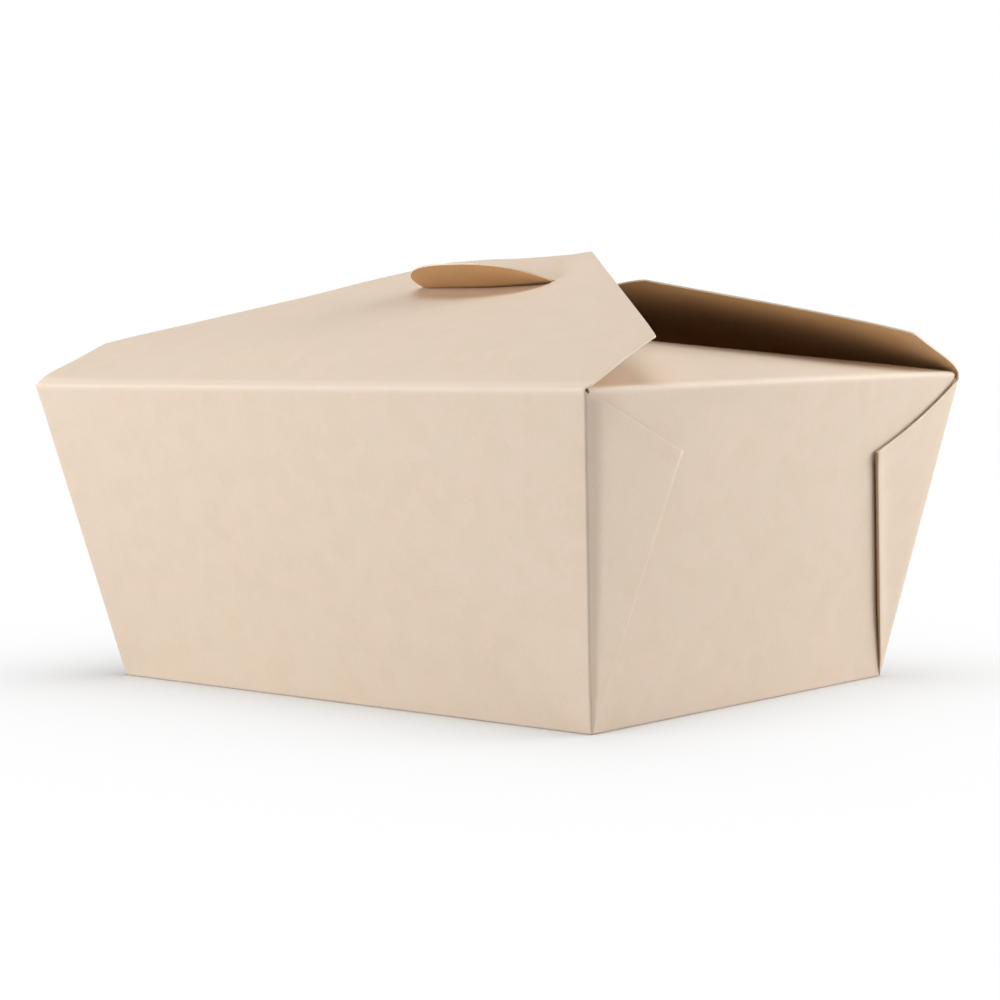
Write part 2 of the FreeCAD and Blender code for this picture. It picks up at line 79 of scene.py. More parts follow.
# Webs: half the distance between layers, the fold at the table and at its tip (from the middle of the
# end wall, height), how far the hidden fold is past the bend, how short the under layer is cut, and the
# lines of the cut edges, straight on the near webs and curved on the far ones.
PLY = 0.28
WEB_FOOT = 69.2
FOLD_TIP = {-1: (46.5, 75.5), 1: (48.6, 71.2)}
HIDDEN_FOLD = {-1: 1.6, 1: 0.8}
UNDER_SHORT = 1.3
NEAR_CUT_OUT, NEAR_CUT_TOP, NEAR_CUT_SLOPE = 91, 94.2, 0.406
FAR_CUT_OUT, FAR_CUT_START, FAR_CUT_SLOPE, FAR_CUT_CURVE = 48.3, 71.1, 0.36, 0.0038
LOWEST_CUT, CUT_HALVINGS = 30.0, 40

# How far a web's cut edge stands off, how far and over what width a far web springs off beside its fold,
# how flat and over what width a near web is pressed there, and the room kept between both folds.
WEB_LIFT = 0.2
FOLD_SPRING, SPRING_WIDTH = 0.45, 5
FOLD_PRESS, PRESS_WIDTH = 0.6, 14
FOLD_ROOM = 1.5

# Marks on the skin: 1 is fully pale, stretched skin on creases and paler skin by cut edges, both with a
# painted highlight; -1 is fully brown, painted shade, which on a far web's fold is also cracked skin. Below:
# the paleness and painted highlight by a cut edge, the painted shade beside the soft corner, and the top of
# the painted shadow line along a far fold.
CUT_PALENESS_AND_HIGHLIGHT = 1.6
SOFT_CORNER_SHADE = 0.11
FOLD_SHADOW_TOP = 70.5

# The flat places of hidden layers and end walls are set this far out, to have their own mottling.
UNDER_APART, END_APART = 60, 30
FLAT_UNIT = 100.0


# Lines of the folded sheet

def ease(low, high, value):
    """0 below low, 1 above high, smooth between."""
    share = min(max((value - low) / (high - low), 0.0), 1.0)
    return share * share * (3 - 2 * share)


def turn_corner(before, corner, after, radius, steps):
    """Points of an arc that takes a corner's place, both ends included."""
    way_in = (corner - before).normalized()
    way_out = (after - corner).normalized()
    half_turn = way_in.angle(way_out) / 2
    first = corner - way_in * radius * math.tan(half_turn)
    centre = corner + (way_out - way_in).normalized() * radius / math.cos(half_turn)
    arm = first - centre
    side = 1 if way_in.x * way_out.y - way_in.y * way_out.x > 0 else -1
    points = []
    for step in range(steps + 1):
        turn = side * 2 * half_turn * step / steps
        points.append(centre + Vector((arm.x * math.cos(turn) - arm.y * math.sin(turn),
                                       arm.x * math.sin(turn) + arm.y * math.cos(turn))))
    return points


def reach(z, foot, flare):
    """How far out the middle of the board lies in a wall, its crease at the table included."""
    lean = math.atan2(flare, HEIGHT)
    turn = math.pi / 2 - lean
    rise = z - SKIN
    if rise >= BASE_CREASE * (1 - math.cos(turn)):
        return foot + flare * z / HEIGHT - SKIN / math.cos(lean)
    start = foot + flare * SKIN / HEIGHT - SKIN / math.cos(lean) - BASE_CREASE * math.tan(turn / 2)
    return start + BASE_CREASE * math.sin(math.acos(1 - rise / BASE_CREASE))


def wall_x(z):
    """How far out the middle of an end wall's board lies."""
    return reach(z, FOOT_X, FLARE_X)


def wall_y(z):
    """How far out the middle of a long wall's board lies."""
    return reach(z, FOOT_Y, FLARE_Y)


def corner_back(z, corner):
    """How far the upright bend sits back from the corner, along the long wall and the end wall."""
    share = math.sqrt(max(z, 0) / HEIGHT)
    soft = corner == SOFT_CORNER
    back_foot, back_more = SOFT_BACK if soft else CRISP_BACK
    width_foot, width_more = SOFT_WIDTH if soft else CRISP_WIDTH
    return back_foot + back_more * share, width_foot + width_more * share


def corner_give(along, z, corner):
    """How far the end layers give way inwards next to the upright bend."""
    back, width = corner_back(z, corner)
    share = 1 - along / width
    return back * (share + math.sqrt(share * share + 0.02)) / 2


def fold_y(z, side):
    """Edge of the web's fold, from the middle of the end wall."""
    top_out, top_z = FOLD_TIP[side]
    return WEB_FOOT - (WEB_FOOT - top_out) * z / top_z


def cut_z(out, side):
    """Height of the web's cut edge, at a distance from the middle of the end wall."""
    if side < 0:
        return NEAR_CUT_TOP - NEAR_CUT_SLOPE * (NEAR_CUT_OUT - out)
    past = out - FAR_CUT_OUT
    return FAR_CUT_START + FAR_CUT_SLOPE * past + FAR_CUT_CURVE * past * past


def cut_top(place, side):
    """Where a line that runs up the web meets the cut edge."""
    low, high = LOWEST_CUT, NEAR_CUT_TOP
    for _ in range(CUT_HALVINGS):
        middle = (low + high) / 2
        if cut_z(place(middle), side) > middle:
            low = middle
        else:
            high = middle
    return low


def upright_bend(z, corner):
    """The upright bend between long wall and web, seen from above."""
    x, y = wall_x(z), wall_y(z)
    width = corner_back(z, corner)[1]
    tip = Vector((x - corner_give(0, z, corner), y))
    after = Vector((x - corner_give(width / 2, z, corner), y - width / 2))
    radius = SOFT_RADIUS if corner == SOFT_CORNER else CRISP_RADIUS
    return turn_corner(tip - Vector((3, 0)), tip, after, min(radius, 0.5 * width), BEND_STEPS)


def rim_end(z, corner):
    """Half length of the straight part of a long wall, towards one corner."""
    return upright_bend(z, corner)[0].x


# Columns of one quarter of the walls

WALL_COLUMNS, BEND_STEPS, FOLD_STEPS, HIDDEN_STEPS = 40, 8, 8, 6

# Columns of a web: share 0 is at the corner, 1 at the fold.
WEB_SHARES = [0.02, 0.04, 0.07, 0.1, 0.13, 0.17, 0.21, 0.26, 0.32, 0.4, 0.5, 0.6, 0.7, 0.8, 0.9, 0.96, 1]

# Columns of half an end wall: share 0 is the hidden fold, 0.5 the web's fold, 1 the middle.
END_SHARES = [0.08, 0.17, 0.26, 0.34, 0.41, 0.46, 0.485, 0.5, 0.507, 0.516, 0.53, 0.55, 0.58, 0.62,
              0.67, 0.72, 0.77, 0.82, 0.87, 0.92, 0.96, 1]


def web_span(z, corner):
    """Along the end wall, from the corner: start of the web, its fold, and the hidden fold."""
    y = wall_y(z)
    start = y - upright_bend(z, corner)[-1].y
    fold = y - (fold_y(z, corner[1]) + SKIN + PLY)
    hidden = start + min(HIDDEN_FOLD[corner[1]], 0.45 * (fold - start))
    return start, fold, hidden


def unmarked(z):
    """Plain skin, with no paleness, painted highlight or painted shade."""
    return 0.0


def quarter_columns(corner):
    """Columns of the sheet from the middle of a long wall, round the corner, along the web to its
    fold and back, to the middle of the end wall. Each gives a place in plan, a top height, the mark
    on its skin and the part that it belongs to."""
    columns = []
    side = corner[1]

    def add(place, top, part, mark=unmarked):
        columns.append((place, top, mark, part))

    def along(z, share, there):
        start, fold, hidden = web_span(z, corner)
        first = start if there else hidden
        return first + (fold - first) * share

    for step in range(WALL_COLUMNS + 1):
        share = step / WALL_COLUMNS
        add(lambda z, s=share: Vector((s * rim_end(z, corner), wall_y(z) + wall_bow(s, z))), STRIP_Z, "wall")
    bend_top = cut_top(lambda z: wall_y(z) - web_span(z, corner)[0], side)
    for step in range(1, BEND_STEPS + 1):
        top = CORNER_TOP[side] + (bend_top - CORNER_TOP[side]) * step / BEND_STEPS
        # Beside the soft corner the bend gets painted shade in brown, through skin_mark.
        add(lambda z, k=step: upright_bend(z, corner)[k], top, "bend",
            lambda z: skin_mark(z, 0, HEIGHT, corner))
    for share in WEB_SHARES:
        top = cut_top(lambda z, s=share: wall_y(z) - along(z, s, True), side)
        add(lambda z, s=share: layer_point(z, along(z, s, True), 0, corner), top, "web",
            lambda z, s=share, t=top: skin_mark(z, along(z, s, True), t, corner))
    fold_top = columns[-1][1]
    for step in range(1, FOLD_STEPS):
        turn = math.pi * step / FOLD_STEPS
        # A far web's fold is painted brown: painted shade that deepens towards its under side, over a
        # cracked crease.
        fold_shade = -0.6 * math.sin(turn) ** 0.5 - 0.4 * turn / math.pi if side > 0 else 0.0
        add(lambda z, t=turn: fold_point(z, t, corner), fold_top, "fold", lambda z, w=fold_shade: w)
    for share in reversed(WEB_SHARES):
        top = cut_top(lambda z, s=share: wall_y(z) - along(z, s, False), side)
        top = min(top - UNDER_SHORT * ease(1, 0.6, share), STRIP_Z)
        # Beside a far web's fold the under layer is painted brown, as shade in the crevice there.
        fold_shade = -1.0 if side > 0 and share > 0.8 else 0.0
        add(lambda z, s=share: layer_point(z, along(z, s, False), 2, corner), top, "under",
            lambda z, w=fold_shade: w)
    for step in range(HIDDEN_STEPS + 1):
        turn = math.pi * step / HIDDEN_STEPS
        add(lambda z, t=turn: hidden_point(z, t, corner), STRIP_Z, "under")
    for share in END_SHARES:
        add(lambda z, s=share: end_wall_point(z, s, corner), STRIP_Z, "end",
            lambda z, s=share: fold_shadow_line(z, s, corner))
    return columns


def ply(z):
    """Half the distance between the layers of a web. They close up towards the base crease."""
    return PLY * (0.08 + 0.92 * ease(-4, 26, z))


def pressed(z, along, corner):
    """A near web is pressed flat at its fold, so that hardly a step shows there."""
    if corner[1] > 0:
        return 1.0
    fold = web_span(z, corner)[1]
    rest = max(wall_y(z) - fold, 1.0)
    past_fold = ease(0.1 * rest, 0.9 * rest, along - fold)
    return 1 - FOLD_PRESS * ease(fold - PRESS_WIDTH, fold, along) * (1 - past_fold) * (1 - ease(76, 90, z))


def skin_mark(z, along, top, corner):
    """Pale skin with a painted highlight along a web's cut edge, painted shade in brown beside the soft
    corner.
    """
    # Paler skin with a painted highlight along the cut edge.
    mark = CUT_PALENESS_AND_HIGHLIGHT * ease(top - 0.5, top, z) if along > 0 else 0.0
    if corner == SOFT_CORNER:
        width = corner_back(z, corner)[1]
        beside = (1 - ease(0.45 * width, width, along)) * ease(-1, 2, along)
        # Painted shade in brown on the soft corner's band, which faces away from the lamps.
        mark -= SOFT_CORNER_SHADE * beside * ease(top, top - 2, z)
    return mark


def wall_bow(share, z):
    """Slight outward swell of a long wall."""
    return WALL_BOW * (1 - share ** 4) * math.sin(math.pi * min(max(z, 0) / HEIGHT, 1)) ** 2


def web_lift(z, along, corner):
    """The outer layer of a web stands off a little along its cut edge."""
    return WEB_LIFT * ease(-8, 0, z - cut_z(wall_y(z) - along, corner[1])) * ease(3, 12, along)


def fold_spring(z, along, corner):
    """A far web springs off the end wall next to its fold."""
    if corner[1] < 0:
        return 0.0
    fold = web_span(z, corner)[1]
    return FOLD_SPRING * ease(fold - SPRING_WIDTH, fold, along) * ease(-1, 8, z)


def layer_point(z, along, plies, corner):
    """A point of the web's outer layer, or of the layer that lies so many half plies deeper."""
    lift = fold_spring(z, along, corner)
    if plies == 0:
        lift += web_lift(z, along, corner)
    depth = plies * ply(z) * pressed(z, along, corner)
    return Vector((wall_x(z) - corner_give(along, z, corner) - depth + lift, wall_y(z) - along))


def fold_point(z, turn, corner):
    """A point round the web's fold. turn runs from 0 outside to pi beneath."""
    along = web_span(z, corner)[1]
    lift = fold_spring(z, along, corner) + web_lift(z, along, corner) * (1 - turn / math.pi)
    radius = ply(z) * pressed(z, along, corner)
    x = wall_x(z) - corner_give(along, z, corner) - radius
    return Vector((x + radius * math.cos(turn) + lift, wall_y(z) - along - radius * math.sin(turn)))


def hidden_point(z, turn, corner):
    """A point round the hidden fold. turn runs from 0 at the web's under layer to pi at the end wall."""
    along = web_span(z, corner)[2]
    radius = ply(z)
    x = wall_x(z) - corner_give(along, z, corner) - 3 * radius
    return Vector((x + radius * math.cos(turn), wall_y(z) - along + radius * math.sin(turn)))


def end_wall_along(z, share, corner):
    """Distance from the corner, along the end wall. Near the base the columns keep some room."""
    fold, hidden = web_span(z, corner)[1:]
    fold = max(fold, hidden + FOLD_ROOM)
    if share < 0.5:
        return hidden + (fold - hidden) * share / 0.5
    return fold + (wall_y(z) - fold) * (share - 0.5) / 0.5


def end_bow(z, along, corner):
    """Slight outward swell of an end wall."""
    hidden = web_span(z, corner)[2]
    out = (along - hidden) / (wall_y(z) - hidden)
    return END_BOW * math.sin(math.pi / 2 * out) ** 2 * math.sin(math.pi * z / HEIGHT) ** 2


def fold_shadow_line(z, share, corner):
    """Painted shadow: a brown line on the end wall in the crevice along a far web's fold."""
    if corner[1] < 0 or share < 0.4 or z > FOLD_SHADOW_TOP:
        return 0.0
    past = end_wall_along(z, share, corner) - web_span(z, corner)[1]
    return -1.0 + 0.9 * ease(0.1, 1.3, past) + 0.1 * ease(1.3, 4, past)


def end_wall_point(z, share, corner):
    """share runs from 0 at the hidden fold to 1 in the middle of the end wall."""
    y = wall_y(z)
    along = end_wall_along(z, share, corner)
    bow = end_bow(z, along, corner)
    depth = 4 * ply(z) * pressed(z, along, corner)
    return Vector((wall_x(z) - corner_give(along, z, corner) - depth + bow, y - along))


# Meshes of the sheet

# In metres: no length at all, points that are one, and the same height. In millimetres: the same run.
NO_LENGTH, ONE_POINT, SAME_HEIGHT = 1e-7, 2e-6, 1e-6
SAME_RUN = 1e-6

# Edges that turn by more than this many degrees are shaded as crisp ones.
CRISP_EDGE = 42


def new_sheet():
    """An empty sheet with its layers: flat places, for the finish, and marks on the skin."""
    bm = bmesh.new()
    bm.loops.layers.uv.new("flat")
    bm.verts.layers.float.new("crease")
    bm.verts.layers.float_vector.new("flat_place")
    return bm


def lay_grid(bm, rows, flip):
    """Faces between rows of (place, flat place, mark on the skin)."""
    crease_layer = bm.verts.layers.float["crease"]
    flat_layer = bm.verts.layers.float_vector["flat_place"]
    uv_layer = bm.loops.layers.uv["flat"]
    grid = []
    for row in rows:
        line = []
        for place, flat, mark in row:
            vert = bm.verts.new(Vector(place) * MM)
            vert[crease_layer] = mark
            vert[flat_layer] = Vector((flat[0], flat[1], 0)) / FLAT_UNIT
            line.append(vert)
        grid.append(line)
    for low, high in zip(grid, grid[1:]):
        for step in range(len(low) - 1):
            corners = [low[step], high[step], high[step + 1], low[step + 1]]
            places = [corner.co for corner in corners]
            if (places[0] - places[3]).length < NO_LENGTH and (places[1] - places[2]).length < NO_LENGTH:
                continue
            if flip:
                corners.reverse()
            face = bm.faces.new(corners)
            face.smooth = True
            for loop in face.loops:
                loop[uv_layer].uv = loop.vert[flat_layer].xy


def finish_sheet(bm, name, materials):
    """Gives the sheet its thickness: outside, inside and cut edges each have their material."""
    mesh = bpy.data.meshes.new(name)
    bm.to_mesh(mesh)
    bm.free()
    piece = bpy.data.objects.new(name, mesh)
    bpy.context.scene.collection.objects.link(piece)
    for material in materials:
        mesh.materials.append(material)
    thick = piece.modifiers.new("board", "SOLIDIFY")
    thick.thickness = BOARD * MM
    thick.offset = 0
    thick.use_even_offset = False
    thick.use_quality_normals = True
    thick.material_offset = 1
    thick.material_offset_rim = 2
    depsgraph = bpy.context.evaluated_depsgraph_get()
    finished = bpy.data.meshes.new_from_object(piece.evaluated_get(depsgraph))
    finished.set_sharp_from_angle(angle=math.radians(CRISP_EDGE))
    piece.modifiers.clear()
    piece.data = finished
    bpy.data.meshes.remove(mesh)
    finished.name = name
    return piece


# Heights of the rows: round the base crease, and up the walls, closer together near both creases.
BASE_ROWS = [SKIN + BASE_CREASE * (1 - math.cos(math.radians(BASE_TURN) * step / 6)) for step in range(6)]
WALL_ROWS = [0.65, 1.2, 2, 3.2, 5, 8, 12, 17, 22, 27, 32, 37, 42, 47, 52, 57, 62, 67, 72, 76, 80, 83, 86,
             88, 90, 91.2, 92.0, STRIP_Z]
CROWN_STEPS = 3


def lay_quarter(bm, across, side):
    """One quarter of base crease, walls and webs. across is 1 for the right end, side 1 for the back."""
    columns = quarter_columns((across, side))
    first_end = next(k for k, column in enumerate(columns) if column[3] == "end")
    last_bend = max(k for k, column in enumerate(columns) if column[3] == "bend")

    def entry(column, z, plan=None):
        place, _, mark, part = column
        x, y = plan or place(z)
        up = math.hypot(1, FLARE_Y / HEIGHT) * z
        if part == "end":
            flat = (across * (FOOT_X + up + END_APART), side * y)
        elif part == "under":
            flat = (across * (x + UNDER_APART), side * (FOOT_Y + up))
        else:
            flat = (across * (x + (wall_y(z) - y)), side * (FOOT_Y + up))
        return (across * x, side * y, z), flat, mark(z)

    rows = []
    for z in BASE_ROWS:
        row = []
        bend_place = columns[last_bend][0](z)
        end_place = columns[first_end][0](z)
        hidden = range(last_bend + 1, first_end)
        for k, column in enumerate(columns):
            if k in hidden:
                share = (k - last_bend) / (first_end - last_bend)
                row.append(entry(column, z, bend_place.lerp(end_place, share)))
            else:
                row.append(entry(column, z))
        rows.append(row)
    for z in WALL_ROWS:
        row = []
        for column in columns:
            row.append(entry(column, z * min(column[1], STRIP_Z) / STRIP_Z))
        rows.append(row)
    lay_grid(bm, rows, across * side < 0)

    # The tops of the bend and of the first part of the web stand above the walls' last row.
    crown = []
    first_bend = next(k for k, column in enumerate(columns) if column[3] == "bend") - 1
    last = max(k for k, column in enumerate(columns)
               if column[3] in ("bend", "web") and column[1] > STRIP_Z)
    for step in range(CROWN_STEPS + 1):
        row = []
        for k in range(first_bend, last + 2):
            top = columns[k][1] if k > first_bend else CORNER_TOP[side]
            z = min(top, STRIP_Z) + (max(top, STRIP_Z) - STRIP_Z) * step / CROWN_STEPS
            row.append(entry(columns[k], z))
        crown.append(row)
    lay_grid(bm, crown, across * side < 0)


# The change of slope of a long flap takes this far on both sides of its knee.
KNEE_SOFT = 11.0
ROUNDING_STEPS = 8


def soft_slope(run, knee, near_slope, far_slope):
    """Height over a flap's crease, with a soft change of slope at the knee."""
    past = run - knee
    if past <= -KNEE_SOFT:
        return near_slope * run
    if past >= KNEE_SOFT:
        return near_slope * knee + far_slope * past
    return near_slope * run + (far_slope - near_slope) * (past + KNEE_SOFT) ** 2 / (4 * KNEE_SOFT)


def outline(points):
    """Half width against run, for a flap with corners at (run, half width, radius of rounding). The
    first point is where the outline starts, and the last only gives the free edge's direction."""
    line = [Vector(points[0][:2])]
    for before, here, after in zip(points, points[1:], points[2:]):
        line += turn_corner(Vector(before[:2]), Vector(here[:2]), Vector(after[:2]), here[2], ROUNDING_STEPS)

    def half_width(run):
        best = line[0].y
        for start, finish in zip(line, line[1:]):
            if start.x <= run <= finish.x + 1e-9:
                share = (run - start.x) / max(finish.x - start.x, 1e-9)
                return start.y + (finish.y - start.y) * share
            best = finish.y
        return best
    return half_width


def spaced(start, finish, step):
    """Even distances from start to finish, about a step apart."""
    count = max(1, round((finish - start) / step))
    return [start + (finish - start) * k / count for k in range(count + 1)]


def rows_of_runs(stops):
    """Distances along a flap, spaced as each (start, finish, step) says."""
    runs = []
    for start, finish, step in stops:
        runs += spaced(start, finish, step)[0 if not runs else 1:]
    return runs


# Flaps: the corner that each rim crease rounds off (distance from the middle, height), the slope up to
# the knee where it changes, the slope after it, and how far the knee and the free edge are from the
# corner. These runs are level, not along the slope.
LID_CORNER = Vector((89.69, 94.25))
FAR_CORNER = Vector((89.71, 94.362))
STEEP = math.tan(math.radians(26.3))
LID_KNEE, LID_SLOPE, LID_RUN = 26.0, math.tan(math.radians(17.6)), 102.66
FAR_KNEE, FAR_SLOPE, FAR_RUN = 25.36, math.tan(math.radians(17.2)), 80.57
END_CORNER_Z, END_SLOPE, END_RUN = 94.3, math.tan(math.radians(10)), 65.2
LID_COLUMNS, TAB_COLUMNS, RIM_STEPS = 40, 20, 8

# Slit: its run and half length, and how far its lips are lifted and drawn apart by the tab.
SLIT_RUN, SLIT_HALF = 88.9, 27.4
NEAR_LIP_LIFT, FAR_LIP_LIFT, LIP_SHIFT = -0.65, 0.45, 0.35

# Tab: half width, runs of its tip and its root, roundness of its outline, and how far its tip hangs and
# its right side is lifted.
TAB_HALF, TAB_RUN, TAB_ROOT = 27.0, 110.4, 90.4
TAB_FULLNESS, TAB_DROOP, TAB_LIFT = 2.15, 1.15, 0.85

# Sag of both long flaps where the tab draws them together.
SAG, FAR_SAG_RUN = 3.8, 90.5


def crease_rows(corner, slope):
    """Middle line of the board over a rim crease, in distance from the middle and height."""
    foot = Vector((wall_y(STRIP_Z), STRIP_Z))
    inward = Vector((corner.x - 10, corner.y + 10 * slope))
    return [foot] + turn_corner(foot, corner, inward, RIM_CREASE, RIM_STEPS)


def lid_sag(x, run, half):
    """How far the tab pulls the lid down around the slit, spreading further towards the crease."""
    spread = 26.0 if run < SLIT_RUN else 9.0
    along = math.exp(-((run - SLIT_RUN) / spread) ** 2)
    return SAG * along * (1 - ease(22, max(half, 30), abs(x)))


def lid_twist(x, run, half):
    """The lid hangs a little on its left side, and its free edge curls up to the right."""
    out = x / half
    hang = -0.75 * max(0.0, -out) ** 2 * ease(0, 26, run)
    curl = 1.75 * max(0.0, out) ** 1.5 * max(0.0, run - 28) / (LID_RUN - 28)
    crown = 0.75 * max(0.0, 1 - out * out) * ease(90, LID_RUN, run)
    return hang + curl + crown + 0.6 * ease(0, 27, -x) * ease(70, 88, run) + rim_ride(-out, run)


def rim_ride(out, run):
    """Next to its crease, the end of a long flap rides up on the edges of the web below it."""
    return 0.75 * max(0.0, out) ** 6 * math.exp(-((run - 6) / 7) ** 2) * ease(0, 4, run)


def far_bow(run):
    """Slight hump of the far flap between its knee and its free edge."""
    return 0.5 * math.sin(math.pi * min(max((run - 22) / 56, 0.0), 1.0)) ** 2


def far_sag(x, run):
    """How far the far flap is drawn down at the root of its tab."""
    spread = 30.0 if run < FAR_SAG_RUN else 25.0
    along = math.exp(-((run - FAR_SAG_RUN) / spread) ** 2)
    return SAG * along * (1 - ease(24, 56, abs(x)))


def board_ripple(x, run):
    """Faint unevenness that board keeps after it has been folded."""
    return 0.25 * noise.noise(Vector((x / 45, run / 45, 3.7))) * ease(0, 12, run)


def crease_paleness(run):
    """Painted highlight over stretched, paler skin beside a rim crease: full, then none further along the
    flap.
    """
    return 1 - ease(2.2, 4.2, run)


def slit_mouth(x):
    """1 along the slit, falling to 0 at its ends."""
    return math.sqrt(max(0.0, 1 - (abs(x) / SLIT_HALF) ** 20))


def half_rim(share, z, side):
    """Half length of a rim crease, towards the right end for a share above 0."""
    return rim_end(z, (1 if share > 0 else -1, side))


def lay_lid(bm):
    """Top strip of the near wall, the crease and the lid flap with its slit."""
    half_widths = {}
    for across, start in ((1, 114.7), (-1, 115.28)):
        half_widths[across] = outline([(0, rim_end(HEIGHT, (across, -1))), (0.9, start, 0.3),
                                       (28.3, 115.25, 1.5), (LID_RUN, 31.2, 1.0), (LID_RUN, 0)])
    runs_near = rows_of_runs([(2, 5, 0.75), (5, 22.5, 2.9), (22.5, 30, 0.75), (30, 78, 3),
                              (78, SLIT_RUN, 1.1)])
    runs_far = rows_of_runs([(SLIT_RUN, 99, 1.1), (99, LID_RUN, 0.35)])

    def entry(share, run, near_lip):
        half = half_widths[1 if share > 0 else -1](run)
        x = share * half
        rise = soft_slope(run, LID_KNEE, STEEP, LID_SLOPE)
        mouth = slit_mouth(x) * math.exp(-abs(run - SLIT_RUN) / 4)
        lift = (NEAR_LIP_LIFT if near_lip else FAR_LIP_LIFT) * mouth
        shift = 0.0
        if abs(run - SLIT_RUN) < SAME_RUN:
            shift = (LIP_SHIFT if near_lip else -LIP_SHIFT) * slit_mouth(x)
        z = LID_CORNER.y + rise - lid_sag(x, run, half) + lid_twist(x, run, half)
        z = z + lift + board_ripple(x, run)
        y = -(LID_CORNER.x - run + shift)
        return (x, y, z), (x, -(FOOT_Y + HEIGHT + run)), crease_paleness(run)

    shares = [k / LID_COLUMNS for k in range(-LID_COLUMNS, LID_COLUMNS + 1)]
    rows = []
    for place in crease_rows(LID_CORNER, STEEP):
        low = place.y <= STRIP_Z + SAME_RUN
        row = []
        for share in shares:
            end = half_rim(share, min(place.y, HEIGHT), -1)
            bow = wall_bow(abs(share), STRIP_Z) if low else 0.0
            # Over the rim crease the skin is fully pale: stretched skin with a painted highlight.
            row.append(((share * end, -(place.x + bow), place.y), (share * end, -(FOOT_Y + place.y)),
                        0.0 if low else 1.0))
        rows.append(row)
    near = [[entry(share, run, True) for share in shares] for run in runs_near]
    far = [[entry(share, run, False) for share in shares] for run in runs_far]
    lay_grid(bm, rows + near, True)
    lay_grid(bm, far, True)


def lay_far_flap(bm):
    """Top strip of the far wall, its crease, the far flap and the tab."""
    half_width = outline([(0, rim_end(HEIGHT, (1, 1))), (0.9, 115.28, 0.3), (26, 115.25, 3),
                          (FAR_RUN, 55, 2), (FAR_RUN, 0)])
    runs = rows_of_runs([(2, 5, 0.75), (5, 22.5, 2.9), (22.5, 30, 0.75), (30, 76, 3), (76, FAR_RUN, 0.5)])

    def point(x, run):
        rise = soft_slope(run, FAR_KNEE, STEEP, FAR_SLOPE) + rim_ride(abs(x) / 115, run)
        ripple = board_ripple(x + 300, run) * (1 - ease(70, 90, run))
        lift = TAB_LIFT * max(0.0, x / 26) ** 1.5 * ease(FAR_RUN, TAB_ROOT, run)
        z = FAR_CORNER.y + rise - far_sag(x, run) + far_bow(run) + ripple + lift
        return (x, FAR_CORNER.x - run, z), (x, FOOT_Y + HEIGHT + run), crease_paleness(run)

    tab_share = TAB_HALF / half_width(FAR_RUN)
    tab_shares = [tab_share * k / TAB_COLUMNS for k in range(-TAB_COLUMNS, TAB_COLUMNS + 1)]
    outer_shares = [tab_share + (1 - tab_share) * k / 20 for k in range(1, 21)]
    shares = [-share for share in reversed(outer_shares)] + tab_shares + outer_shares
    rows = []
    for place in crease_rows(FAR_CORNER, STEEP):
        end = half_rim(1, min(place.y, HEIGHT), 1)
        low = place.y <= STRIP_Z + SAME_RUN
        row = []
        for share in shares:
            bow = wall_bow(abs(share), STRIP_Z) if low else 0.0
            # Over the rim crease the skin is fully pale: stretched skin with a painted highlight.
            row.append(((share * end, place.x + bow, place.y), (share * end, FOOT_Y + place.y),
                        0.0 if low else 1.0))
        rows.append(row)
    for run in runs:
        half = half_width(run)
        rows.append([point(share * half, run) for share in shares])
    lay_grid(bm, rows, False)

    tab_rows = []
    for run in rows_of_runs([(FAR_RUN, TAB_ROOT, 1.2), (TAB_ROOT, 106, 1.0), (106, TAB_RUN, 0.3)]):
        past = max(0.0, run - TAB_ROOT) / (TAB_RUN + 0.02 - TAB_ROOT)
        half = TAB_HALF * max(0.0, 1 - past ** TAB_FULLNESS) ** (1 / TAB_FULLNESS)
        droop = Vector((0, 0, TAB_DROOP * past * past))
        # Painted shade in brown across the tab's root, where it comes out of the slit.
        root_shade = -math.exp(-((run - TAB_ROOT - 0.4) / 0.7) ** 2)
        row = []
        for k in range(-TAB_COLUMNS, TAB_COLUMNS + 1):
            place, flat, _ = point(k / TAB_COLUMNS * half, run)
            row.append((Vector(place) - droop, flat, root_shade))
        tab_rows.append(row)
    lay_grid(bm, tab_rows, False)


